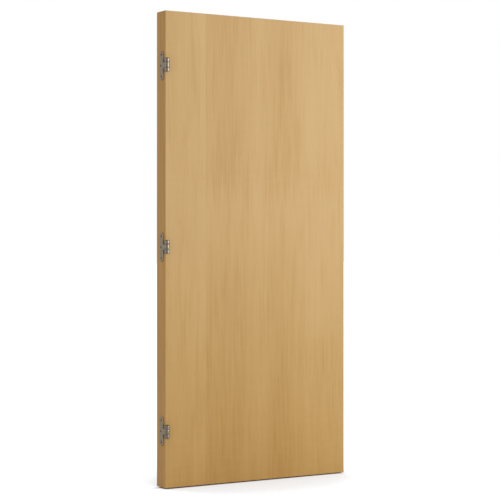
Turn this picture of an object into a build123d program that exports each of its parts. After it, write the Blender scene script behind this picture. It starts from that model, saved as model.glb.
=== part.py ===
from build123d import *
import os

# Flush door leaf, hung on three butt hinges with three knuckles each.
# Millimetres. The origin lies on the flat outer face of the middle frame wing,
# in the plane of the leaf's front face, at the middle hinge's centre height.
# +X runs from the hinge edge to the closing edge, -Y is the side that the
# leaf opens towards, and +Z is up.

# Door leaf
LEAF_WIDTH = 950.0
LEAF_HEIGHT = 2100.0
LEAF_THICKNESS = 82.0
FACE_PANEL_THICKNESS = 6.0
EDGE_LIPPING_THICKNESS = 12.0
END_LIPPING_THICKNESS = 12.0
STILE_WIDTH = 60.0
ARRIS = 1.0

# Hinge centres: up from the foot, down from the head, and how far the middle
# one stands above halfway between the other two
BOTTOM_HINGE_INSET = 248.0
TOP_HINGE_INSET = 241.0
MIDDLE_HINGE_RAISE = 5.5

# Hinge plates: the door plate and the frame wing have the same outline
PLATE_THICKNESS = 3.0
PLATE_GAP = 2.0
PLATE_HEIGHT = 127.0
PLATE_WIDTH = 30.0
PLATE_SETBACK = 17.0
NECK_CORNER_RADIUS = 3.0

# Screw holes in each plate: two on a line and one set back between them
SCREW_HOLE_RADIUS = 4.5
COUNTERSINK_RADIUS = 6.3
COUNTERSINK_DEPTH = 1.8
SCREW_PITCH = 48.5
SCREW_LINE_INSET = 13.0
SCREW_STAGGER = 5.0

# Knuckles, washer and pin
PIN_RADIUS = 6.0
KNUCKLE_WALL = 5.0
KNUCKLE_ROOT_RADIUS = 1.5
MIDDLE_KNUCKLE_HEIGHT = 24.0
END_KNUCKLE_HEIGHT = 16.0
WASHER_THICKNESS = 0.8
WASHER_INSET = 0.6
PIN_HEAD_HEIGHT = 2.4
PIN_HEAD_INSET = 0.3
PIN_HEAD_CHAMFER = 0.8

# Clearances, and how far a cutter passes the face that it cuts
KNUCKLE_TO_FACE = 3.6
POCKET_CLEARANCE = 0.3
PIN_CLEARANCE = 0.05
WASHER_CLEARANCE = 0.1
CUT_OVERRUN = 1.0
NEAR = 0.01

# Worked out from the sizes above
KNUCKLE_RADIUS = PIN_RADIUS + KNUCKLE_WALL
BORE_RADIUS = PIN_RADIUS + PIN_CLEARANCE
KNUCKLE_SPACE = WASHER_THICKNESS + 2 * WASHER_CLEARANCE
END_KNUCKLE_START = MIDDLE_KNUCKLE_HEIGHT / 2 + KNUCKLE_SPACE
END_KNUCKLE_END = END_KNUCKLE_START + END_KNUCKLE_HEIGHT
HINGE_EDGE_X = PLATE_THICKNESS + PLATE_GAP
CLOSING_EDGE_X = HINGE_EDGE_X + LEAF_WIDTH
PIN_X = PLATE_THICKNESS + PLATE_GAP / 2
FRONT_Y = 0.0
BACK_Y = FRONT_Y + LEAF_THICKNESS
PIN_Y = FRONT_Y - KNUCKLE_TO_FACE - KNUCKLE_RADIUS
STRIP_FRONT_Y = FRONT_Y + PLATE_SETBACK
STRIP_BACK_Y = STRIP_FRONT_Y + PLATE_WIDTH
MIDDLE_HINGE_HEIGHT = (BOTTOM_HINGE_INSET + LEAF_HEIGHT - TOP_HINGE_INSET) / 2 + MIDDLE_HINGE_RAISE
FOOT_Z = -MIDDLE_HINGE_HEIGHT
HEAD_Z = FOOT_Z + LEAF_HEIGHT
HINGES = {
    "top_hinge": HEAD_Z - TOP_HINGE_INSET,
    "middle_hinge": 0.0,
    "bottom_hinge": FOOT_Z + BOTTOM_HINGE_INSET,
}


def block(x_range, y_range, z_range):
    """A rectangular block between the given pairs of coordinates."""
    ranges = (x_range, y_range, z_range)
    sizes = [high - low for low, high in ranges]
    centre = [(low + high) / 2 for low, high in ranges]
    return Pos(*centre) * Box(*sizes)


def at_pin(shape, height=0.0):
    """The shape moved from the Z axis to the pin's axis, at a height in the hinge."""
    return Pos(PIN_X, PIN_Y, height) * shape


def plate_outline(neck_height):
    """Side view of a hinge plate: a round-ended strip, and a neck out past the knuckle."""
    strip_middle = (STRIP_FRONT_Y + STRIP_BACK_Y) / 2
    neck_end = PIN_Y - KNUCKLE_RADIUS - CUT_OVERRUN
    strip = Pos(strip_middle, 0) * SlotOverall(PLATE_HEIGHT, PLATE_WIDTH, rotation=90)
    neck = Pos((strip_middle + neck_end) / 2, 0) * Rectangle(strip_middle - neck_end, neck_height)
    outline = strip + neck
    inner_corners = [
        corner for corner in outline.vertices()
        if abs(corner.X - STRIP_FRONT_Y) < NEAR and abs(abs(corner.Y) - neck_height / 2) < NEAR
    ]
    return fillet(inner_corners, NECK_CORNER_RADIUS)


def plate_section(plate_x):
    """Plan of a hinge plate, from its back edge to the round knuckle that it carries."""
    strip_length = STRIP_BACK_Y - PIN_Y
    strip_place = Pos(plate_x + PLATE_THICKNESS / 2, PIN_Y + strip_length / 2)
    section = Pos(PIN_X, PIN_Y) * Circle(KNUCKLE_RADIUS) + strip_place * Rectangle(PLATE_THICKNESS, strip_length)
    roots = [corner for corner in section.vertices() if NEAR < corner.Y - PIN_Y < KNUCKLE_RADIUS + NEAR]
    return fillet(roots, KNUCKLE_ROOT_RADIUS)


def screw_holes(plate_x, head_side):
    """Cutters for the countersunk holes. head_side is +1 or -1: the side of the screws' heads along X."""
    middle_x = plate_x + PLATE_THICKNESS / 2
    sink_x = middle_x + head_side * (PLATE_THICKNESS - COUNTERSINK_DEPTH) / 2
    line_y = STRIP_FRONT_Y + SCREW_LINE_INSET
    hole = Rot(0, 90, 0) * Cylinder(SCREW_HOLE_RADIUS, PLATE_THICKNESS + 2 * CUT_OVERRUN)
    sink = Rot(0, 90 * head_side, 0) * Cone(SCREW_HOLE_RADIUS, COUNTERSINK_RADIUS, COUNTERSINK_DEPTH)
    cutters = Part()
    for place_y, place_z in ((line_y, SCREW_PITCH), (line_y + SCREW_STAGGER, 0.0), (line_y, -SCREW_PITCH)):
        cutters += Pos(middle_x, place_y, place_z) * hole
        cutters += Pos(sink_x, place_y, place_z) * sink
    return cutters


def hinge_plate(plate_x, neck_height, head_side):
    """A plate with one tall knuckle: its plan and its side view crossed, bored for the pin and the screws."""
    plan = extrude(plate_section(plate_x), amount=PLATE_HEIGHT / 2 + CUT_OVERRUN, both=True)
    side = extrude(Plane.YZ * plate_outline(neck_height), amount=KNUCKLE_RADIUS + CUT_OVERRUN, both=True)
    bore = at_pin(Cylinder(BORE_RADIUS, neck_height + 2 * CUT_OVERRUN))
    return (plan & Pos(PIN_X) * side) - bore - screw_holes(plate_x, head_side)


def frame_wing():
    """The plate that is screwed to the frame, with the middle knuckle."""
    return hinge_plate(0.0, MIDDLE_KNUCKLE_HEIGHT, head_side=1)


def door_plate():
    """The plate let into the leaf's edge, with two end knuckles and room between them for the wing's."""
    plate = hinge_plate(HINGE_EDGE_X, 2 * END_KNUCKLE_END, head_side=-1)
    reach = KNUCKLE_RADIUS + CUT_OVERRUN
    room = block(
        (PIN_X - reach, PIN_X + reach),
        (PIN_Y - reach, FRONT_Y),
        (-END_KNUCKLE_START, END_KNUCKLE_START),
    )
    return plate - room


def hinge_pin():
    """The pin, with a turned head that lies on the upper end knuckle."""
    shaft = Cylinder(PIN_RADIUS, 2 * END_KNUCKLE_END)
    head = Cylinder(KNUCKLE_RADIUS - PIN_HEAD_INSET, PIN_HEAD_HEIGHT)
    head = chamfer(head.edges().sort_by(Axis.Z)[-1], PIN_HEAD_CHAMFER)
    return at_pin(shaft + Pos(0, 0, END_KNUCKLE_END + PIN_HEAD_HEIGHT / 2) * head)


def bearing_washer():
    """The washer round the pin that carries the upper end knuckle on top of the middle one."""
    ring = Cylinder(KNUCKLE_RADIUS - WASHER_INSET, WASHER_THICKNESS) - Cylinder(BORE_RADIUS, WASHER_THICKNESS)
    return at_pin(ring, (MIDDLE_KNUCKLE_HEIGHT + WASHER_THICKNESS) / 2)


def hinge_pieces():
    """The pieces of one hinge, with its centre at height zero."""
    return {
        "frame_wing": frame_wing(),
        "door_plate": door_plate(),
        "pin": hinge_pin(),
        "washer": bearing_washer(),
    }


def hinge_pockets():
    """The recesses that the door plates lie in, flush with the hinge edge and open to the front."""
    outline = offset(plate_outline(2 * END_KNUCKLE_END), POCKET_CLEARANCE)
    recess = extrude(Plane.YZ * outline, amount=PLATE_THICKNESS + CUT_OVERRUN)
    pockets = Part()
    for height in HINGES.values():
        pockets += Pos(HINGE_EDGE_X - CUT_OVERRUN, 0, height) * recess
    return pockets


def face_panel(inner_y, outer_y):
    """A veneered board over one whole side of the leaf, with eased corners on its outer face."""
    panel = block((HINGE_EDGE_X, CLOSING_EDGE_X), sorted((inner_y, outer_y)), (FOOT_Z, HEAD_Z))
    outer_face = [face for face in panel.faces() if abs(face.center().Y - outer_y) < NEAR][0]
    return chamfer(outer_face.edges(), ARRIS)


def leaf_pieces():
    """The boards of the leaf: face panels, edge lippings, stiles that hold the screws, and the core."""
    inner_y = (FRONT_Y + FACE_PANEL_THICKNESS, BACK_Y - FACE_PANEL_THICKNESS)
    inner_x = (HINGE_EDGE_X + EDGE_LIPPING_THICKNESS, CLOSING_EDGE_X - EDGE_LIPPING_THICKNESS)
    inner_z = (FOOT_Z + END_LIPPING_THICKNESS, HEAD_Z - END_LIPPING_THICKNESS)
    core_x = (inner_x[0] + STILE_WIDTH, inner_x[1] - STILE_WIDTH)
    full_z = (FOOT_Z, HEAD_Z)
    pockets = hinge_pockets()
    return {
        "front_face_panel": face_panel(inner_y[0], FRONT_Y) - pockets,
        "back_face_panel": face_panel(inner_y[1], BACK_Y),
        "hinge_edge_lipping": block((HINGE_EDGE_X, inner_x[0]), inner_y, full_z) - pockets,
        "closing_edge_lipping": block((inner_x[1], CLOSING_EDGE_X), inner_y, full_z),
        "top_lipping": block(inner_x, inner_y, (inner_z[1], HEAD_Z)),
        "bottom_lipping": block(inner_x, inner_y, (FOOT_Z, inner_z[0])),
        "hinge_stile": block((inner_x[0], core_x[0]), inner_y, inner_z),
        "closing_stile": block((core_x[1], inner_x[1]), inner_y, inner_z),
        "core": block(core_x, inner_y, inner_z),
    }


def main():
    os.makedirs("parts", exist_ok=True)
    nodes = leaf_pieces()
    pieces = hinge_pieces()
    for hinge, height in HINGES.items():
        for name, piece in pieces.items():
            nodes[f"{hinge}_{name}"] = Pos(0, 0, height) * piece
    for name, shape in nodes.items():
        export_step(shape, f"parts/{name}.step")
        print(f"{name}: {shape.volume / 1000:.2f} cm3")


main()
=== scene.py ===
"""A thick flush door leaf on three heavy butt hinges: finishes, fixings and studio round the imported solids.

Metres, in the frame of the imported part: +X from the hinge edge to the closing edge, -Y the side that the
leaf opens to, +Z up, and the origin on the middle hinge.
"""

from __future__ import annotations

import logging
import math
from collections.abc import Sequence
from dataclasses import dataclass, field
from enum import Enum

import bmesh
import bpy
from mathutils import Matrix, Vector


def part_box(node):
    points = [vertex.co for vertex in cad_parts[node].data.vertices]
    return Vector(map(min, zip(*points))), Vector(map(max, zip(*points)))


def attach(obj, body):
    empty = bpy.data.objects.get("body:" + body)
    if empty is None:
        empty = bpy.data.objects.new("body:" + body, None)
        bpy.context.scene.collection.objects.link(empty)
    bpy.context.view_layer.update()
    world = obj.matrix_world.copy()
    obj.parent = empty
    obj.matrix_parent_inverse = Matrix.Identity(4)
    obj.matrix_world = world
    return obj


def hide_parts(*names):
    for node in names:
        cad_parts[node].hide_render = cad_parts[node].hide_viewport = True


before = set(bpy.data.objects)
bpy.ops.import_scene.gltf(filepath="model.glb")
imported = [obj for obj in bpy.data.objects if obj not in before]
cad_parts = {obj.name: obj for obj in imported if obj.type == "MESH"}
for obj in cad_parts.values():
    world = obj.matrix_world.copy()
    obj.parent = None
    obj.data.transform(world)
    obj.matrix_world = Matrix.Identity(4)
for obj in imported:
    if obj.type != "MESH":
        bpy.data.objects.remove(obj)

LOG = logging.getLogger("door_leaf")
MM = 0.001

# Sockets of the Mix node in its colour mode, which share their names with those of its other modes
MIX_FACTOR = 0
MIX_FIRST = 6
MIX_SECOND = 7
MIX_RESULT = 2

# The leaf's outer faces, as the solids have them
HINGE_EDGE_X = 5 * MM
CLOSING_EDGE_X = 955 * MM
FOOT_Z = -1059 * MM
HEAD_Z = 1041 * MM

# What feeds a node's inputs, a linear colour with its alpha, and values at places in millimetres
Feeds = dict[int | str, object]
Colour = tuple[float, float, float, float]
Stops = Sequence[tuple[float, float]]


def linear(hex_colour: str) -> Colour:
    """Turn an sRGB colour into the linear one that shaders use.

    Args:
        hex_colour: Six hex digits after a hash sign.

    Returns:
        Red, green, blue and an alpha of 1.
    """
    channels = [int(hex_colour[start:start + 2], 16) / 255 for start in (1, 3, 5)]
    red, green, blue = (c / 12.92 if c <= 0.04045 else ((c + 0.055) / 1.055) ** 2.4 for c in channels)
    return (red, green, blue, 1.0)


def add_node(tree: bpy.types.NodeTree, kind: str, feeds: Feeds | None = None,
             **settings: object) -> bpy.types.Node:
    """Add a node to a tree, with its settings and what feeds its inputs.

    Args:
        tree: The tree that gets the node.
        kind: The node's type.
        feeds: An input's name or number, and either its value or the output that is linked to it.
        settings: The node's own properties.

    Returns:
        The new node.
    """
    node = tree.nodes.new(kind)
    for name, value in settings.items():
        setattr(node, name, value)
    for place, feed in (feeds or {}).items():
        if isinstance(feed, bpy.types.NodeSocket):
            tree.links.new(feed, node.inputs[place])
        else:
            node.inputs[place].default_value = feed
    return node


def fill_ramp(ramp: bpy.types.ColorRamp, stops: list[tuple[float, Colour]]) -> None:
    """Give a colour ramp its stops.

    Args:
        ramp: The ramp, with the two stops that a new one has.
        stops: Each stop's place from 0 to 1, and its colour.
    """
    ramp.elements.remove(ramp.elements[-1])
    ramp.elements[0].position = stops[0][0]
    ramp.elements[0].color = stops[0][1]
    for place, colour in stops[1:]:
        ramp.elements.new(place).color = colour


def new_material(name: str) -> tuple[bpy.types.Material, bpy.types.NodeTree, bpy.types.NodeSocket]:
    """Start an empty node material.

    Args:
        name: The material's name.

    Returns:
        The material, its tree, and the Surface input of its output node.
    """
    material = bpy.data.materials.new(name)
    material.use_nodes = True
    tree = material.node_tree
    tree.nodes.clear()
    output = add_node(tree, "ShaderNodeOutputMaterial")
    return material, tree, output.inputs["Surface"]


def profile(tree: bpy.types.NodeTree, place: bpy.types.NodeSocket, stops: Stops) -> bpy.types.NodeSocket:
    """Draw a value that changes evenly between given places.

    Args:
        tree: The material's tree.
        place: A distance along one axis, in metres.
        stops: Each place in millimetres, from low to high, and the value there from 0 to 1.

    Returns:
        The value.
    """
    low = stops[0][0]
    reach = stops[-1][0] - low
    share = add_node(tree, "ShaderNodeMapRange",
                     {"Value": place, "From Min": low * MM, "From Max": (low + reach) * MM})
    ramp = add_node(tree, "ShaderNodeValToRGB", {"Fac": share.outputs[0]})
    fill_ramp(ramp.color_ramp, [((spot - low) / reach, (value, value, value, 1.0)) for spot, value in stops])
    return ramp.outputs[0]


class GrainRun(Enum):
    """The way that a board's grain runs."""

    UPRIGHT = "Z"
    LEVEL = "X"


@dataclass(frozen=True)
class Pattern:
    """A noise whose cells have a real width across the grain and a real length along it."""

    across_mm: float
    along_mm: float
    seed: float
    detail: float = 2.0

    def draw(self, tree: bpy.types.NodeTree, place: bpy.types.NodeSocket,
             run: GrainRun = GrainRun.UPRIGHT, shift: float = 0.0) -> bpy.types.NodeSocket:
        """Draw the noise on a surface.

        Args:
            tree: The material's tree.
            place: Object coordinates.
            run: The axis that the pattern is drawn out along.
            shift: What is added to the seed, so that two boards don't look alike.

        Returns:
            The noise, near 0.5 on average.
        """
        across = 1 / (self.across_mm * MM)
        along = 1 / (self.along_mm * MM)
        scale = (across, across, along) if run is GrainRun.UPRIGHT else (along, across, across)
        spot = add_node(tree, "ShaderNodeMapping",
                        {"Vector": place, "Location": (self.seed + shift,) * 3, "Scale": scale})
        noise = add_node(tree, "ShaderNodeTexNoise",
                         {"Vector": spot.outputs[0], "Scale": 1.0, "Detail": self.detail, "Roughness": 0.55})
        return noise.outputs[0]


@dataclass(frozen=True)
class GrainLayer:
    """A pattern in the grain, and how far it moves the tone as it goes from 0 to 1."""

    pattern: Pattern
    strength: float


@dataclass(frozen=True)
class VeneerLeaf:
    """One sheet of veneer: where it starts, and its tone and its dark streaks.

    Each of the two is given at the sheet's start, middle and end.
    """

    start_mm: float
    tones: tuple[float, float, float]
    streaks: tuple[float, float, float]


@dataclass(frozen=True)
class BeechVeneer:
    """Steamed beech veneer, sliced in wide sheets and laid side by side under a satin lacquer.

    The eye gets a calm straw-to-tan face with upright streaks, sheets that differ a little in tone with a
    fine joint between them, brown streaks in the hearts of the inner sheets, and a soft sheen. All sheets
    come from one trunk, so what changes along it changes at the same height in each. The face darkens
    towards the foot, and that darkening is painted shade for the light and sheen that fall off lower down.
    """

    name: str
    sheets: tuple[VeneerLeaf, ...]
    seed: float = 0.0
    joint_mm: float = 0.6

    # What changes with height: its tone, whose darkening towards the foot is painted shade, its dark streaks
    # and its level figure
    tones_with_painted_foot_shade: Stops = (
        (-1059, 0.26), (-760, 0.38), (-420, 0.45), (-60, 0.50),
        (225, 0.53), (310, 0.49), (420, 0.50), (1041, 0.50))
    trunk_streaks: Stops = (
        (-1059, 0.7), (-650, 0.5), (-480, 0.35), (-100, 0.25),
        (20, 0.05), (200, 0.05), (320, 0.7), (1041, 0.6))
    trunk_figure: Stops = (
        (-1059, 0.6), (-800, 0.4), (-600, 0.1), (220, 0.1), (300, 0.7), (380, 0.2), (1041, 0.1))

    # Soft patches, and fine streaks a few millimetres wide
    grain: tuple[GrainLayer, ...] = (
        GrainLayer(Pattern(90, 500, 3.1), 0.24),
        GrainLayer(Pattern(13, 420, 7.7), 0.17),
        GrainLayer(Pattern(4, 200, 11.3), 0.12),
    )
    # The hearts' streaks, from a finger's width to hairlines, where they gather, and the cast round them
    heart_streaks: tuple[GrainLayer, ...] = (
        GrainLayer(Pattern(12, 320, 47.0), -0.28),
        GrainLayer(Pattern(4, 200, 53.0), -0.12),
    )
    heart_groups: Pattern = Pattern(60, 420, 41.0)
    heart_cast: float = -0.08
    figure: GrainLayer = GrainLayer(Pattern(110, 26, 17.9, detail=1.0), 0.30)
    # How far the grain wanders to each side, and how far a streak's end lies above or below the next one's
    wander: Pattern = Pattern(400, 900, 1.7)
    wander_reach: float = 12 * MM
    ends: Pattern = Pattern(24, 3000, 61.0)
    ends_reach: float = 280 * MM
    # Beech's rays and pores, both drawn several times their real size, so that they show
    rays: Pattern = Pattern(3.5, 45, 31.0, detail=0.0)
    pores: Pattern = Pattern(1.1, 14, 23.0)

    dark: str = "#AF8142"
    middle: str = "#BF9652"
    pale: str = "#CEAA6F"
    edge: str = "#A87F47"
    heart: str = "#AE8500"
    heart_strength: float = 0.9
    fleck: str = "#8F6232"
    roughness: float = 0.37
    roughness_swing: float = 0.05

    def make(self) -> bpy.types.Material:
        """Build the material."""
        material, tree, surface = new_material(self.name)
        given = add_node(tree, "ShaderNodeTexCoord").outputs["Object"]
        apart = add_node(tree, "ShaderNodeSeparateXYZ", {0: given})
        across = apart.outputs["X"]
        place = self.sway(tree, given)
        height = self.ragged_height(tree, place, apart.outputs["Z"])
        tone = self.sheet_values(tree, across, [sheet.tones for sheet in self.sheets])
        # The tone darkens towards the foot: painted shade for the light and sheen that fall off lower on the
        # face
        tone = self.stir(tree, tone, profile(tree, height, self.tones_with_painted_foot_shade), 1.0)
        for layer in self.grain:
            noise = layer.pattern.draw(tree, place, shift=self.seed)
            tone = self.stir(tree, tone, noise, layer.strength)
        tone = self.level_figure(tree, tone, given, apart.outputs["Z"])
        streaked = self.dark_streaks(tree, tone, place, across, height)
        ramp = add_node(tree, "ShaderNodeValToRGB", {"Fac": streaked})
        fill_ramp(ramp.color_ramp,
                  [(0.0, linear(self.dark)), (0.5, linear(self.middle)), (1.0, linear(self.pale))])
        lost = add_node(tree, "ShaderNodeMath", {0: tone, 1: streaked}, operation="SUBTRACT")
        browned = add_node(tree, "ShaderNodeMath", {0: lost.outputs[0], 1: self.heart_strength},
                           operation="MULTIPLY")
        # The hearts' brown, then the rays, then the cut edge, each over what lies below
        colour = ramp.outputs[0]
        for mask, coat in (
            (browned.outputs[0], self.heart),
            (self.flecks(tree, place), self.fleck),
            (self.side_mask(tree, apart), self.edge),
        ):
            coated = add_node(tree, "ShaderNodeMix",
                              {MIX_FACTOR: mask, MIX_FIRST: colour, MIX_SECOND: linear(coat)}, data_type="RGBA")
            colour = coated.outputs[MIX_RESULT]
        pores = self.pores.draw(tree, place, shift=self.seed)
        bump = add_node(tree, "ShaderNodeBump", {"Strength": 0.12, "Distance": 0.2 * MM, "Height": pores})
        sheen = add_node(tree, "ShaderNodeMapRange",
                         {"Value": pores, "To Min": self.roughness - self.roughness_swing,
                          "To Max": self.roughness + self.roughness_swing})
        shader = add_node(tree, "ShaderNodeBsdfPrincipled",
                          {"Base Color": colour, "Roughness": sheen.outputs[0], "IOR": 1.5,
                           "Normal": bump.outputs[0]})
        tree.links.new(shader.outputs[0], surface)
        return material

    def sheet_values(self, tree: bpy.types.NodeTree, across: bpy.types.NodeSocket,
                     values: list[tuple[float, float, float]]) -> bpy.types.NodeSocket:
        """Give each sheet of veneer values of its own.

        Args:
            tree: The material's tree.
            across: The distance along X.
            values: For each sheet, the value at its start, middle and end, from 0 to 1.

        Returns:
            The value, which steps at each joint.
        """
        first = HINGE_EDGE_X / MM
        ends = [sheet.start_mm for sheet in self.sheets[1:]] + [(CLOSING_EDGE_X - HINGE_EDGE_X) / MM]
        stops = []
        for sheet, end, trio in zip(self.sheets, ends, values):
            start = sheet.start_mm + self.joint_mm
            for distance, value in zip((start, (start + end) / 2, end - self.joint_mm), trio):
                stops.append((first + distance, value))
        return profile(tree, across, stops)

    def stir(self, tree: bpy.types.NodeTree, tone: bpy.types.NodeSocket, noise: bpy.types.NodeSocket,
             strength: float) -> bpy.types.NodeSocket:
        """Add a noise to a tone, above and below it alike.

        Args:
            tree: The material's tree.
            tone: The tone so far.
            noise: A noise near 0.5.
            strength: How far the tone moves as the noise goes from 0 to 1.

        Returns:
            The new tone.
        """
        swing = add_node(tree, "ShaderNodeMath", {0: noise, 1: strength, 2: -strength / 2},
                         operation="MULTIPLY_ADD")
        return add_node(tree, "ShaderNodeMath", {0: tone, 1: swing.outputs[0]}).outputs[0]

    def sway(self, tree: bpy.types.NodeTree, place: bpy.types.NodeSocket) -> bpy.types.NodeSocket:
        """Let the grain wander a few millimetres to each side along its length.

        Args:
            tree: The material's tree.
            place: Object coordinates.

        Returns:
            The coordinates that the patterns are drawn on.
        """
        aside = add_node(tree, "ShaderNodeMapRange",
                         {"Value": self.wander.draw(tree, place, shift=self.seed),
                          "To Min": -self.wander_reach, "To Max": self.wander_reach})
        step = add_node(tree, "ShaderNodeCombineXYZ", {"X": aside.outputs[0]})
        return add_node(tree, "ShaderNodeVectorMath", {0: place, 1: step.outputs[0]}).outputs[0]

    def ragged_height(self, tree: bpy.types.NodeTree, place: bpy.types.NodeSocket,
                      height: bpy.types.NodeSocket) -> bpy.types.NodeSocket:
        """Shift the height from streak to streak, so that they don't all end on one level line.

        Args:
            tree: The material's tree.
            place: The swayed coordinates.
            height: The height along Z.

        Returns:
            The height that the trunk's changes are read at.
        """
        shift = add_node(tree, "ShaderNodeMapRange",
                         {"Value": self.ends.draw(tree, place, shift=self.seed),
                          "To Min": -self.ends_reach, "To Max": self.ends_reach})
        return add_node(tree, "ShaderNodeMath", {0: height, 1: shift.outputs[0]}).outputs[0]

    def dark_streaks(self, tree: bpy.types.NodeTree, tone: bpy.types.NodeSocket, place: bpy.types.NodeSocket,
                     across: bpy.types.NodeSocket, height: bpy.types.NodeSocket) -> bpy.types.NodeSocket:
        """Darken narrow streaks, gathered in the hearts of the sheets, with a brown cast round them.

        Args:
            tree: The material's tree.
            tone: The tone so far.
            place: The swayed coordinates.
            across: The distance along X.
            height: The height that the trunk's changes are read at.

        Returns:
            The new tone.
        """
        hearts = self.sheet_values(tree, across, [sheet.streaks for sheet in self.sheets])
        rows = profile(tree, height, self.trunk_streaks)
        heart = add_node(tree, "ShaderNodeMath", {0: hearts, 1: rows}, operation="MULTIPLY").outputs[0]
        group = add_node(tree, "ShaderNodeMapRange",
                         {"Value": self.heart_groups.draw(tree, place, shift=self.seed),
                          "From Min": 0.42, "From Max": 0.64, "To Max": 0.5}, interpolation_type="SMOOTHSTEP")
        share = add_node(tree, "ShaderNodeMath", {0: heart, 1: group.outputs[0]}).outputs[0]
        cast = add_node(tree, "ShaderNodeMath", {0: heart, 1: self.heart_cast, 2: tone},
                        operation="MULTIPLY_ADD").outputs[0]
        for layer in self.heart_streaks:
            streak = add_node(tree, "ShaderNodeMapRange",
                              {"Value": layer.pattern.draw(tree, place, shift=self.seed),
                               "From Min": 0.42, "From Max": 0.70, "To Max": layer.strength})
            cast = add_node(tree, "ShaderNodeMath", {0: share, 1: streak.outputs[0], 2: cast},
                            operation="MULTIPLY_ADD").outputs[0]
        return cast

    def level_figure(self, tree: bpy.types.NodeTree, tone: bpy.types.NodeSocket, place: bpy.types.NodeSocket,
                     height: bpy.types.NodeSocket) -> bpy.types.NodeSocket:
        """Add the soft level figure that beech shows where its trunk was bent, in rows across the sheets.

        Args:
            tree: The material's tree.
            tone: The tone so far.
            place: Object coordinates.
            height: The height along Z.

        Returns:
            The new tone.
        """
        rows = profile(tree, height, self.trunk_figure)
        waves = self.figure.pattern.draw(tree, place, shift=self.seed)
        swing = add_node(tree, "ShaderNodeMath", {0: waves, 1: 0.5}, operation="SUBTRACT").outputs[0]
        strength = add_node(tree, "ShaderNodeMath", {0: rows, 1: self.figure.strength},
                            operation="MULTIPLY").outputs[0]
        return add_node(tree, "ShaderNodeMath", {0: swing, 1: strength, 2: tone},
                        operation="MULTIPLY_ADD").outputs[0]

    def flecks(self, tree: bpy.types.NodeTree, place: bpy.types.NodeSocket) -> bpy.types.NodeSocket:
        """Mark the short dark rays of beech.

        Args:
            tree: The material's tree.
            place: The swayed coordinates.

        Returns:
            How dark the mark is, from 0 to under 1.
        """
        mask = add_node(tree, "ShaderNodeMapRange",
                        {"Value": self.rays.draw(tree, place, shift=self.seed),
                         "From Min": 0.70, "From Max": 0.84, "To Min": 0.0, "To Max": 0.22})
        return mask.outputs[0]

    def side_mask(self, tree: bpy.types.NodeTree, apart: bpy.types.Node) -> bpy.types.NodeSocket:
        """Find the narrow sides of a face panel, which show their cut edge and not the veneer.

        Args:
            tree: The material's tree.
            apart: The separated object coordinates.

        Returns:
            1 on the four sides of the panel, and 0 on its face.
        """
        skin = 0.3 * MM
        sides = []
        for axis, low, high in (("X", HINGE_EDGE_X, CLOSING_EDGE_X), ("Z", FOOT_Z, HEAD_Z)):
            middle = (low + high) / 2
            offset = add_node(tree, "ShaderNodeMath", {0: apart.outputs[axis], 1: middle},
                              operation="SUBTRACT")
            distance = add_node(tree, "ShaderNodeMath", {0: offset.outputs[0]}, operation="ABSOLUTE")
            sides.append(add_node(tree, "ShaderNodeMath", {0: distance.outputs[0], 1: high - middle - skin},
                                  operation="GREATER_THAN").outputs[0])
        return add_node(tree, "ShaderNodeMath", {0: sides[0], 1: sides[1]}, operation="MAXIMUM").outputs[0]


@dataclass(frozen=True)
class SolidWood:
    """Solid timber, such as the planed and lacquered beech of the lippings.

    The eye gets a slightly deeper tan than the veneer, with fine close streaks along the strip.
    """

    name: str
    run: GrainRun
    seed: float
    dark: str = "#A0763B"
    pale: str = "#B58B4E"
    roughness: float = 0.5
    ior: float = 1.3

    def make(self) -> bpy.types.Material:
        """Build the material."""
        material, tree, surface = new_material(self.name)
        place = add_node(tree, "ShaderNodeTexCoord").outputs["Object"]
        broad = Pattern(16, 700, self.seed).draw(tree, place, self.run)
        fine = Pattern(2.2, 160, self.seed + 5.0).draw(tree, place, self.run)
        tone = add_node(tree, "ShaderNodeMath", {0: broad, 1: fine})
        share = add_node(tree, "ShaderNodeMapRange",
                         {"Value": tone.outputs[0], "From Min": 0.7, "From Max": 1.3})
        ramp = add_node(tree, "ShaderNodeValToRGB", {"Fac": share.outputs[0]})
        fill_ramp(ramp.color_ramp, [(0.0, linear(self.dark)), (1.0, linear(self.pale))])
        bump = add_node(tree, "ShaderNodeBump", {"Strength": 0.15, "Distance": 0.2 * MM, "Height": fine})
        shader = add_node(tree, "ShaderNodeBsdfPrincipled",
                          {"Base Color": ramp.outputs[0], "Roughness": self.roughness, "IOR": self.ior,
                           "Normal": bump.outputs[0]})
        tree.links.new(shader.outputs[0], surface)
        return material


@dataclass(frozen=True)
class ChipCore:
    """Raw chipboard core, pressed from wood chips: pale and dark specks a few millimetres across."""

    name: str = "chipboard_pressed_raw"
    dark: str = "#7A5B38"
    pale: str = "#B5966B"

    def make(self) -> bpy.types.Material:
        """Build the material."""
        material, tree, surface = new_material(self.name)
        place = add_node(tree, "ShaderNodeTexCoord").outputs["Object"]
        chips = Pattern(4, 9, 2.0, detail=4.0).draw(tree, place)
        share = add_node(tree, "ShaderNodeMapRange", {"Value": chips, "From Min": 0.35, "From Max": 0.65})
        ramp = add_node(tree, "ShaderNodeValToRGB", {"Fac": share.outputs[0]})
        fill_ramp(ramp.color_ramp, [(0.0, linear(self.dark)), (1.0, linear(self.pale))])
        shader = add_node(tree, "ShaderNodeBsdfPrincipled", {"Base Color": ramp.outputs[0], "Roughness": 0.85})
        tree.links.new(shader.outputs[0], surface)
        return material


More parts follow.
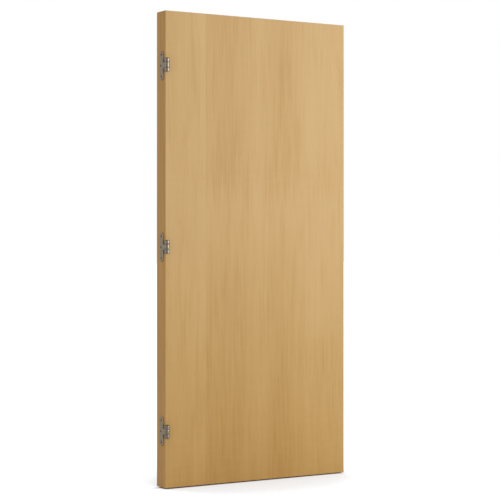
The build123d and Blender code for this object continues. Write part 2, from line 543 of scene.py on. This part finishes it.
@dataclass(frozen=True)
class Steel:
    """Steel with a worked surface: a grey metal whose sheen is drawn out along fine marks."""

    name: str
    dark: str
    pale: str
    roughness: float
    marks: Pattern
    run: GrainRun

    def make(self) -> bpy.types.Material:
        """Build the material."""
        material, tree, surface = new_material(self.name)
        given = add_node(tree, "ShaderNodeTexCoord").outputs
        marks = self.marks.draw(tree, given["Object"], self.run)
        bump = add_node(tree, "ShaderNodeBump", {"Strength": 0.05, "Distance": 0.05 * MM, "Height": marks})
        shader = add_node(tree, "ShaderNodeBsdfPrincipled",
                          {"Base Color": self.colour(tree, given), "Metallic": 1.0,
                           "Roughness": self.sheen(tree, given, marks), "Normal": bump.outputs[0]})
        tree.links.new(shader.outputs[0], surface)
        return material

    def colour(self, tree: bpy.types.NodeTree, given: bpy.types.NodeOutputs) -> bpy.types.NodeSocket:
        """Cloud the metal's colour a little.

        Args:
            tree: The material's tree.
            given: The outputs of its Texture Coordinate node.

        Returns:
            The colour.
        """
        cloud = Pattern(14, 18, 9.0).draw(tree, given["Object"])
        ramp = add_node(tree, "ShaderNodeValToRGB", {"Fac": cloud})
        fill_ramp(ramp.color_ramp, [(0.3, linear(self.dark)), (0.7, linear(self.pale))])
        return ramp.outputs[0]

    def sheen(self, tree: bpy.types.NodeTree, given: bpy.types.NodeOutputs,
              marks: bpy.types.NodeSocket) -> bpy.types.NodeSocket:
        """Vary the roughness a little with the marks.

        Args:
            tree: The material's tree.
            given: The outputs of its Texture Coordinate node; not used here.
            marks: The pattern of the marks.

        Returns:
            The roughness.
        """
        swing = 0.04
        even = add_node(tree, "ShaderNodeMapRange",
                        {"Value": marks, "To Min": self.roughness - swing, "To Max": self.roughness + swing})
        return even.outputs[0]


@dataclass(frozen=True)
class HingeSteel(Steel):
    """Satin nickel-plated steel of the hinges' plates and knuckles.

    The eye gets warm grey plates whose cut edges are painted lighter, as painted light on their shade, and
    smoother, darker knuckles with a painted highlight: a bright line down them on the side turned to the room.
    """

    polish: float
    knuckle: str
    # Lighter colour on the plates' cut edges and in their holes: painted light that lifts the shade on them
    edge_painted_light: str
    # Colour of the painted highlight down the knuckles, the turn of that line from -Y towards +X, and its half
    # width
    painted_highlight: str
    highlight_side_degrees: float = 13.0
    highlight_reach_degrees: float = 12.0
    knuckle_back: float = -2 * MM

    def knuckle_mask(self, tree: bpy.types.NodeTree, given: bpy.types.NodeOutputs) -> bpy.types.NodeSocket:
        """Find the knuckles, which stand in front of the leaf's face: 1 there, and 0 on the plates."""
        depth = add_node(tree, "ShaderNodeSeparateXYZ", {0: given["Object"]}).outputs["Y"]
        return add_node(tree, "ShaderNodeMath", {0: depth, 1: self.knuckle_back},
                        operation="LESS_THAN").outputs[0]

    def edge_mask(self, tree: bpy.types.NodeTree, given: bpy.types.NodeOutputs) -> bpy.types.NodeSocket:
        """Find what doesn't face along X: 1 on the plates' cut edges and in their holes, 0 on their faces."""
        facing = add_node(tree, "ShaderNodeSeparateXYZ", {0: given["Normal"]}).outputs["X"]
        level = add_node(tree, "ShaderNodeMath", {0: facing}, operation="ABSOLUTE").outputs[0]
        return add_node(tree, "ShaderNodeMath", {0: level, 1: 0.6}, operation="LESS_THAN").outputs[0]

    def painted_highlight_mask(self, tree: bpy.types.NodeTree, given: bpy.types.NodeOutputs) -> bpy.types.NodeSocket:
        """Find the painted highlight, a bright line down the knuckles on the side turned to the room: 1 on it,
        and 0 elsewhere.
        """
        turn = math.radians(self.highlight_side_degrees)
        reach = math.cos(math.radians(self.highlight_reach_degrees))
        towards = add_node(tree, "ShaderNodeVectorMath",
                           {0: given["Normal"], 1: (math.sin(turn), -math.cos(turn), 0.0)},
                           operation="DOT_PRODUCT").outputs["Value"]
        line = add_node(tree, "ShaderNodeMath", {0: towards, 1: reach}, operation="GREATER_THAN").outputs[0]
        return add_node(tree, "ShaderNodeMath", {0: line, 1: self.knuckle_mask(tree, given)},
                        operation="MULTIPLY").outputs[0]

    def colour(self, tree: bpy.types.NodeTree, given: bpy.types.NodeOutputs) -> bpy.types.NodeSocket:
        """Lighten the cut edges with painted light, darken the knuckles, and paint a highlight line down them.

        Args:
            tree: The material's tree.
            given: The outputs of its Texture Coordinate node.

        Returns:
            The colour.
        """
        colour = super().colour(tree, given)
        # Painted light on the cut edges, the knuckles' own darker colour, then the painted highlight line, each
        # over what lies below
        for mask, coat in (
            (self.edge_mask(tree, given), self.edge_painted_light),
            (self.knuckle_mask(tree, given), self.knuckle),
            (self.painted_highlight_mask(tree, given), self.painted_highlight),
        ):
            coated = add_node(tree, "ShaderNodeMix",
                              {MIX_FACTOR: mask, MIX_FIRST: colour, MIX_SECOND: linear(coat)}, data_type="RGBA")
            colour = coated.outputs[MIX_RESULT]
        return colour

    def sheen(self, tree: bpy.types.NodeTree, given: bpy.types.NodeOutputs,
              marks: bpy.types.NodeSocket) -> bpy.types.NodeSocket:
        """Make the knuckles smoother than the plates.

        Args:
            tree: The material's tree.
            given: The outputs of its Texture Coordinate node.
            marks: The pattern of the marks.

        Returns:
            The roughness.
        """
        plain = super().sheen(tree, given, marks)
        return add_node(tree, "ShaderNodeMath", {0: self.knuckle_mask(tree, given), 1: -self.polish, 2: plain},
                        operation="MULTIPLY_ADD").outputs[0]


@dataclass(frozen=True)
class Acetal:
    """Dark moulded acetal of the bearing washers: near black, with a dull even sheen."""

    name: str = "acetal_moulded_dark"
    dark: str = "#1C1D1F"
    pale: str = "#2E3032"

    def make(self) -> bpy.types.Material:
        """Build the material."""
        material, tree, surface = new_material(self.name)
        place = add_node(tree, "ShaderNodeTexCoord").outputs["Object"]
        specks = Pattern(0.8, 0.8, 6.0).draw(tree, place)
        ramp = add_node(tree, "ShaderNodeValToRGB", {"Fac": specks})
        fill_ramp(ramp.color_ramp, [(0.35, linear(self.dark)), (0.65, linear(self.pale))])
        shader = add_node(tree, "ShaderNodeBsdfPrincipled",
                          {"Base Color": ramp.outputs[0], "Roughness": 0.45, "IOR": 1.48})
        tree.links.new(shader.outputs[0], surface)
        return material


@dataclass(frozen=True)
class StudioFloor:
    """Matt white studio floor: pure white to the eye, with a soft cool shade round the leaf's foot.

    A light of its own lifts the floor to white where nothing stands near. It is weaker near the leaf, where
    less of the room is open, so that the leaf's shade shows, and it all but goes out right under the foot.
    """

    name: str = "painted_board_matt_white"
    body: str = "#F2F2F2"
    shade: str = "#CACED4"
    own_light: float = 0.43
    shadow_reach: float = 1300 * MM
    shadow_clear: tuple[float, float] = (0.64, 1.0)
    foot_shade: float = 0.02
    foot_rim: float = 16 * MM
    foot_clear: tuple[float, float] = (0.3, 0.75)
    clear_samples: int = 16

    def make(self) -> bpy.types.Material:
        """Build the material."""
        material, tree, surface = new_material(self.name)
        paint = add_node(tree, "ShaderNodeBsdfDiffuse", {"Color": linear(self.body)})
        shaded = add_node(tree, "ShaderNodeBsdfDiffuse", {"Color": linear(self.shade)})
        around = add_node(tree, "ShaderNodeAmbientOcclusion", {"Distance": self.shadow_reach},
                          samples=self.clear_samples)
        whiten = add_node(tree, "ShaderNodeMapRange",
                          {"Value": around.outputs["AO"], "From Min": self.shadow_clear[0],
                           "From Max": self.shadow_clear[1], "To Min": self.own_light, "To Max": 1.0},
                          interpolation_type="SMOOTHSTEP")
        close = add_node(tree, "ShaderNodeAmbientOcclusion", {"Distance": self.foot_rim},
                         samples=self.clear_samples)
        under = add_node(tree, "ShaderNodeMapRange",
                         {"Value": close.outputs["AO"], "From Min": self.foot_clear[0],
                          "From Max": self.foot_clear[1], "To Min": self.foot_shade, "To Max": 1.0})
        strength = add_node(tree, "ShaderNodeMath", {0: whiten.outputs[0], 1: under.outputs[0]},
                            operation="MULTIPLY")
        glow = add_node(tree, "ShaderNodeEmission", {"Strength": strength.outputs[0]})
        seen = add_node(tree, "ShaderNodeAddShader", {0: shaded.outputs[0], 1: glow.outputs[0]})
        choice = add_node(tree, "ShaderNodeMixShader",
                          {0: seen_ray(tree), 1: paint.outputs[0], 2: seen.outputs[0]})
        tree.links.new(choice.outputs[0], surface)
        return material


def seen_ray(tree: bpy.types.NodeTree) -> bpy.types.NodeSocket:
    """Give 1 for the rays that show the backdrop, and 0 for those that light the leaf or its reflections."""
    return add_node(tree, "ShaderNodeLightPath").outputs["Is Camera Ray"]


def dress(piece: bpy.types.Object, material: bpy.types.Material) -> None:
    """Give a piece one material, in place of what it had."""
    piece.data.materials.clear()
    piece.data.materials.append(material)


def eased_copy(node: str, width: float, segments: int = 2) -> bpy.types.Object:
    """Copy a CAD node with its sharp edges eased.

    Args:
        node: The CAD node's name.
        width: How far back from an edge the easing starts.
        segments: The number of strips in the easing.

    Returns:
        The new piece, with a plain mesh.
    """
    same_point = 0.001 * MM
    flat_angle = math.radians(0.5)
    eased_angle = math.radians(35)
    sharp_angle = math.radians(32)
    work = bmesh.new()
    work.from_mesh(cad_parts[node].data)
    bmesh.ops.remove_doubles(work, verts=work.verts, dist=same_point)
    bmesh.ops.dissolve_limit(work, angle_limit=flat_angle, verts=work.verts, edges=work.edges)
    mesh = bpy.data.meshes.new(f"eased_{node}")
    work.to_mesh(mesh)
    work.free()
    piece = bpy.data.objects.new(f"eased_{node}", mesh)
    bpy.context.scene.collection.objects.link(piece)
    easing = piece.modifiers.new("easing", "BEVEL")
    easing.width = width
    easing.segments = segments
    easing.limit_method = "ANGLE"
    easing.angle_limit = eased_angle
    easing.use_clamp_overlap = True
    finished = bpy.data.meshes.new_from_object(piece.evaluated_get(bpy.context.evaluated_depsgraph_get()))
    piece.modifiers.remove(easing)
    piece.data = finished
    finished.name = f"eased_{node}"
    bpy.data.meshes.remove(mesh)
    finished.shade_smooth()
    finished.set_sharp_from_angle(angle=sharp_angle)
    return piece


@dataclass
class LeafBoards:
    """The boards of the leaf: veneered faces, lippings, stiles and core, which are the solids themselves."""

    front: BeechVeneer = field(default_factory=lambda: BeechVeneer(
        "beech_veneer_front_satin",
        (
            VeneerLeaf(0, (0.60, 0.60, 0.64), (0.0, 0.05, 0.0)),
            VeneerLeaf(202, (0.55, 0.53, 0.60), (0.5, 1.0, 0.0)),
            VeneerLeaf(479, (0.60, 0.57, 0.67), (0.0, 1.0, 0.1)),
            VeneerLeaf(737, (0.70, 0.72, 0.72), (0.0, 0.2, 0.1)),
        ),
    ))
    back: BeechVeneer = field(default_factory=lambda: BeechVeneer(
        "beech_veneer_back_satin",
        (
            VeneerLeaf(0, (0.70, 0.72, 0.66), (0.0, 0.2, 0.0)),
            VeneerLeaf(233, (0.58, 0.52, 0.60), (0.2, 0.9, 0.1)),
            VeneerLeaf(486, (0.56, 0.52, 0.60), (0.1, 1.0, 0.2)),
            VeneerLeaf(722, (0.62, 0.60, 0.66), (0.0, 0.1, 0.0)),
        ),
        seed=40.0,
        edge="#9B8869",
    ))

    def build(self) -> None:
        """The boards come from the solids as they are, so this only finishes them."""
        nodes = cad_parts
        dress(nodes["front_face_panel"], self.front.make())
        dress(nodes["back_face_panel"], self.back.make())
        upright = SolidWood("beech_lipping_upright", GrainRun.UPRIGHT, 3.0).make()
        level = SolidWood("beech_lipping_level", GrainRun.LEVEL, 12.0).make()
        # Sawn pine: paler than the beech, and dull, since nothing is laid on it
        stile = SolidWood("pine_stile_sawn", GrainRun.UPRIGHT, 21.0,
                          dark="#B58E5C", pale="#D2B284", roughness=0.85).make()
        for name in ("hinge_edge_lipping", "closing_edge_lipping"):
            dress(nodes[name], upright)
        for name in ("top_lipping", "bottom_lipping"):
            dress(nodes[name], level)
        for name in ("hinge_stile", "closing_stile"):
            dress(nodes[name], stile)
        dress(nodes["core"], ChipCore().make())
        LOG.info("leaf boards dressed")


@dataclass(frozen=True)
class HingeFinishes:
    """The materials that the three hinges share."""

    plate: bpy.types.Material
    pin: bpy.types.Material
    washer: bpy.types.Material

    @classmethod
    def make(cls) -> HingeFinishes:
        """Build the hinges' materials once."""
        return cls(
            # The lighter cut edges and the bright line down the knuckles are painted light: painted light on
            # the edges and a painted highlight
            plate=HingeSteel("nickel_plated_steel_satin", "#91836F", "#9C8E79", 0.42, Pattern(0.5, 30, 4.0),
                             GrainRun.UPRIGHT, polish=0.28, knuckle="#7E7567", edge_painted_light="#C9BDAA",
                             painted_highlight="#B0A592").make(),
            # Oiled turned steel: dark and smooth, with faint rings that draw its sheen sideways
            pin=Steel("steel_pin_turned_oiled", "#514C46", "#5E5952", 0.25, Pattern(0.4, 8, 4.0),
                      GrainRun.LEVEL).make(),
            washer=Acetal().make(),
        )


@dataclass
class Hinge:
    """One three-knuckle butt hinge: a frame wing, a door plate, a headed pin and a washer."""

    name: str
    finishes: HingeFinishes
    edge_easing: float = 0.35 * MM
    washer_easing: float = 0.12 * MM
    wing_back: float = 3 * MM
    wing_backing: float = 1.6 * MM
    back_depth: float = 0.42 * MM

    def build(self) -> None:
        """Make each piece with eased edges, and hang it on its body."""
        for part, body, slot, material, easing in (
            ("frame_wing", "frame_side", "hinge_steel", self.finishes.plate, self.edge_easing),
            ("door_plate", "leaf", "hinge_steel", self.finishes.plate, self.edge_easing),
            ("pin", "leaf", "pin_steel", self.finishes.pin, self.edge_easing),
            ("washer", "frame_side", "bearing_washer", self.finishes.washer, self.washer_easing),
        ):
            node = f"{self.name}_{part}"
            dress(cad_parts[node], material)
            piece = eased_copy(node, easing)
            if part == "frame_wing":
                self.back_wing(piece.data)
            dress(piece, material)
            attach(piece, body)
            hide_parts(node)
            LOG.info("%s: %d faces", piece.name, len(piece.data.polygons))

    def back_wing(self, mesh: bpy.types.Mesh) -> None:
        """Draw the wing thicker on its hidden side, so that the gap behind it shows as no more than a hairline.

        Args:
            mesh: The wing's mesh. The points on the back of its flat plate, with those of the eased edge
                round it, are moved.
        """
        for point in mesh.vertices:
            if point.co.y > 0 and point.co.x > self.wing_back - self.back_depth:
                point.co.x += self.wing_backing

    def height(self) -> float:
        """The height of the hinge's centre."""
        low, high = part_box(f"{self.name}_frame_wing")
        return (low.z + high.z) / 2


@dataclass
class DoorPlateScrews:
    """The countersunk screws that hold the door plates, nine in all, set by Geometry Nodes."""

    hinge_heights: list[float]
    face_x: float = HINGE_EDGE_X
    line_y: float = 30 * MM
    stagger: float = 5 * MM
    pitch: float = 48.5 * MM
    head_radius: float = 5.9 * MM
    neck_radius: float = 4.35 * MM
    shank_radius: float = 3.4 * MM
    tip_radius: float = 0.5 * MM
    sink: float = 0.1 * MM
    rim_inset: float = 0.25 * MM
    rim_depth: float = 0.2 * MM
    head_depth: float = 1.8 * MM
    neck_length: float = 1.5 * MM
    tip_length: float = 6 * MM
    length: float = 45 * MM
    slot_length: float = 3.6 * MM
    slot_half_width: float = 0.75 * MM
    slot_depth: float = 1.9 * MM
    slot_taper: float = 0.6
    rim_points: int = 48
    turn_seed: int = 5

    def places(self) -> list[Vector]:
        """The centres of the screws' heads, on the plates' faces."""
        spots = ((self.line_y, self.pitch), (self.line_y + self.stagger, 0.0), (self.line_y, -self.pitch))
        x = self.face_x + self.sink
        return [Vector((x, y, height + z)) for height in self.hinge_heights for y, z in spots]

    def cross(self, scale: float, depth: float) -> list[Vector]:
        """The outline of the cross recess, seen from outside.

        Args:
            scale: The outline's size, as a share of that at the mouth.
            depth: How deep it lies.

        Returns:
            Its twelve corners in order.
        """
        long = self.slot_length * scale
        short = self.slot_half_width * scale
        corners = []
        for turn in range(4):
            angle = turn * math.pi / 2
            for u, v in ((short, short), (long, short), (long, -short)):
                corners.append(Vector((
                    depth,
                    u * math.cos(angle) + v * math.sin(angle),
                    v * math.cos(angle) - u * math.sin(angle),
                )))
        return corners

    def ring(self, radius: float, depth: float) -> list[Vector]:
        """The points of a circle about the screw's axis.

        Args:
            radius: The circle's radius.
            depth: How deep it lies.

        Returns:
            The points in order.
        """
        turns = [2 * math.pi * step / self.rim_points for step in range(self.rim_points)]
        return [Vector((depth, radius * math.cos(turn), radius * math.sin(turn))) for turn in turns]

    def screw_mesh(self) -> bpy.types.Mesh:
        """Build one closed screw, with its head's face at zero and its shank along +X."""
        work = bmesh.new()
        outline = (
            (self.head_radius - self.rim_inset, 0.0),
            (self.head_radius, self.rim_depth),
            (self.neck_radius, self.head_depth),
            (self.shank_radius, self.head_depth + self.neck_length),
            (self.shank_radius, self.length - self.tip_length),
            (self.tip_radius, self.length),
        )
        rings = [[work.verts.new(point) for point in self.ring(radius, depth)] for radius, depth in outline]
        for near, far in zip(rings, rings[1:]):
            for step in range(self.rim_points):
                after = (step + 1) % self.rim_points
                work.faces.new((near[step], near[after], far[after], far[step]))
        work.faces.new(rings[-1])
        mouth = [work.verts.new(point) for point in self.cross(1.0, 0.0)]
        bottom = [work.verts.new(point) for point in self.cross(self.slot_taper, self.slot_depth)]
        for step in range(len(mouth)):
            after = (step + 1) % len(mouth)
            work.faces.new((mouth[step], mouth[after], bottom[after], bottom[step]))
        work.faces.new(bottom)
        rim_edges = [work.edges.get((a, b)) for a, b in zip(rings[0], rings[0][1:] + rings[0][:1])]
        mouth_edges = [work.edges.get((a, b)) for a, b in zip(mouth, mouth[1:] + mouth[:1])]
        bmesh.ops.triangle_fill(work, edges=rim_edges + mouth_edges, use_beauty=True)
        bmesh.ops.recalc_face_normals(work, faces=work.faces)
        mesh = bpy.data.meshes.new("door_plate_screw")
        work.to_mesh(mesh)
        work.free()
        mesh.shade_smooth()
        mesh.set_sharp_from_angle(angle=math.radians(30))
        return mesh

    def scatter_tree(self) -> bpy.types.GeometryNodeTree:
        """Build the node tree that puts one screw on each point, turned by a fixed seed.

        Returns:
            The tree, with inputs for the screw, the seed and the material.
        """
        tree = bpy.data.node_groups.new("screws_on_points", "GeometryNodeTree")
        for name, kind in (("Geometry", "NodeSocketGeometry"), ("Screw", "NodeSocketObject"),
                           ("Turn seed", "NodeSocketInt"), ("Finish", "NodeSocketMaterial")):
            tree.interface.new_socket(name, in_out="INPUT", socket_type=kind)
        tree.interface.new_socket("Geometry", in_out="OUTPUT", socket_type="NodeSocketGeometry")
        given = add_node(tree, "NodeGroupInput").outputs
        screw = add_node(tree, "GeometryNodeObjectInfo", {"Object": given["Screw"]})
        points = add_node(tree, "GeometryNodeMeshToPoints", {"Mesh": given["Geometry"]})
        turn = add_node(tree, "FunctionNodeRandomValue",
                        {0: (0.0, 0.0, 0.0), 1: (math.pi / 2, 0.0, 0.0), "Seed": given["Turn seed"]},
                        data_type="FLOAT_VECTOR")
        placed = add_node(tree, "GeometryNodeInstanceOnPoints",
                          {"Points": points.outputs[0], "Instance": screw.outputs["Geometry"],
                           "Rotation": turn.outputs[0]})
        real = add_node(tree, "GeometryNodeRealizeInstances", {"Geometry": placed.outputs[0]})
        painted = add_node(tree, "GeometryNodeSetMaterial",
                           {"Geometry": real.outputs[0], "Material": given["Finish"]})
        add_node(tree, "NodeGroupOutput", {"Geometry": painted.outputs[0]})
        return tree

    def build(self) -> None:
        """Set the screws, and make one plain mesh of them."""
        # Zinc-plated steel: paler and cooler than the hinges, with a sheen drawn out along its turned rings
        finish = Steel("zinc_plated_steel_turned", "#9A9C98", "#B2B3AC", 0.3, Pattern(0.4, 3, 4.0),
                       GrainRun.LEVEL).make()
        screw = bpy.data.objects.new("door_plate_screw", self.screw_mesh())
        bpy.context.scene.collection.objects.link(screw)
        marks = bpy.data.meshes.new("screw_places")
        marks.from_pydata(self.places(), [], [])
        piece = bpy.data.objects.new("door_plate_screws", marks)
        bpy.context.scene.collection.objects.link(piece)
        setting = piece.modifiers.new("setting", "NODES")
        setting.node_group = self.scatter_tree()
        values = {"Screw": screw, "Turn seed": self.turn_seed, "Finish": finish}
        for item in setting.node_group.interface.items_tree:
            if item.in_out == "INPUT" and item.name in values:
                setting[item.identifier] = values[item.name]
        settled = piece.evaluated_get(bpy.context.evaluated_depsgraph_get())
        piece.data = bpy.data.meshes.new_from_object(settled)
        piece.modifiers.remove(setting)
        piece.data.name = "door_plate_screws"
        bpy.data.objects.remove(screw)
        bpy.data.meshes.remove(marks)
        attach(piece, "leaf")
        LOG.info("%s: %d faces", piece.name, len(piece.data.polygons))


@dataclass(frozen=True)
class SoftLight:
    """A rectangular soft light that looks at a point."""

    name: str
    place: tuple[float, float, float]
    target: tuple[float, float, float]
    width: float
    height: float
    power: float

    def build(self) -> None:
        """Hang the light."""
        lamp = bpy.data.lights.new(self.name, "AREA")
        lamp.shape = "RECTANGLE"
        lamp.size = self.width
        lamp.size_y = self.height
        lamp.energy = self.power
        holder = bpy.data.objects.new(self.name, lamp)
        holder.location = self.place
        look = Vector(self.target) - Vector(self.place)
        holder.rotation_euler = look.to_track_quat("-Z", "Y").to_euler()
        holder.visible_camera = False
        bpy.context.scene.collection.objects.link(holder)
        LOG.info("light %s", self.name)


@dataclass
class Studio:
    """The floor, the lights, the white surround and the camera."""

    floor_reach: float = 60.0
    floor_gap: float = 5 * MM
    surround: float = 0.72
    camera_place: tuple[float, float, float] = (-3.3000, -6.164, 0.030)
    camera_turn_degrees: float = 31.24
    lens_mm: float = 114.48
    sensor_mm: float = 36.0
    shift_up: float = -0.0192
    sight: float = 200.0
    lights: tuple[SoftLight, ...] = (
        SoftLight("key", (2.75, -3.60, 1.15), (0.5, 0.0, 0.0), 2.0, 3.4, 68.0),
        SoftLight("side_fill", (-4.0, 0.4, 0.9), (0.0, 0.0, 0.0), 1.6, 3.0, 20.0),
    )

    def build(self) -> None:
        """Set up the whole studio."""
        self.build_floor()
        self.build_surround()
        for light in self.lights:
            light.build()
        self.build_camera()
        bpy.context.scene.view_settings.view_transform = "Standard"

    def build_floor(self) -> None:
        """Lay the floor just under the leaf's foot, which hangs clear of it as a hung door does."""
        mesh = bpy.data.meshes.new("studio_floor")
        corners = [(x * self.floor_reach, y * self.floor_reach, FOOT_Z - self.floor_gap)
                   for x, y in ((-1, -1), (1, -1), (1, 1), (-1, 1))]
        mesh.from_pydata(corners, [], [(0, 1, 2, 3)])
        floor = bpy.data.objects.new("studio_floor", mesh)
        bpy.context.scene.collection.objects.link(floor)
        dress(floor, StudioFloor().make())

    def build_surround(self) -> None:
        """Light evenly from all round, and show white behind the leaf."""
        world = bpy.data.worlds.new("white_surround")
        world.use_nodes = True
        tree = world.node_tree
        tree.nodes.clear()
        white = linear("#FFFFFF")
        lit = add_node(tree, "ShaderNodeBackground", {"Color": white, "Strength": self.surround})
        shown = add_node(tree, "ShaderNodeBackground", {"Color": white, "Strength": 1.0})
        choice = add_node(tree, "ShaderNodeMixShader",
                          {0: seen_ray(tree), 1: lit.outputs[0], 2: shown.outputs[0]})
        add_node(tree, "ShaderNodeOutputWorld", {"Surface": choice.outputs[0]})
        bpy.context.scene.world = world

    def build_camera(self) -> None:
        """Stand a level camera where the photograph was seen from."""
        lens = bpy.data.cameras.new("view_camera")
        lens.sensor_width = self.sensor_mm
        lens.lens = self.lens_mm
        lens.shift_y = self.shift_up
        lens.clip_end = self.sight
        camera = bpy.data.objects.new("view_camera", lens)
        camera.location = self.camera_place
        camera.rotation_euler = (math.pi / 2, 0.0, -math.radians(self.camera_turn_degrees))
        bpy.context.scene.collection.objects.link(camera)
        bpy.context.scene.camera = camera


def main() -> None:
    """Build and dress the door leaf, its hinges and its studio."""
    logging.basicConfig(level=logging.INFO, format="%(name)s: %(message)s")
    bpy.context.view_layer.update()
    Studio().build()
    LeafBoards().build()
    finishes = HingeFinishes.make()
    hinges = [Hinge(name, finishes) for name in ("top_hinge", "middle_hinge", "bottom_hinge")]
    for hinge in hinges:
        hinge.build()
    DoorPlateScrews([hinge.height() for hinge in hinges]).build()


if __name__ == "__main__":
    main()
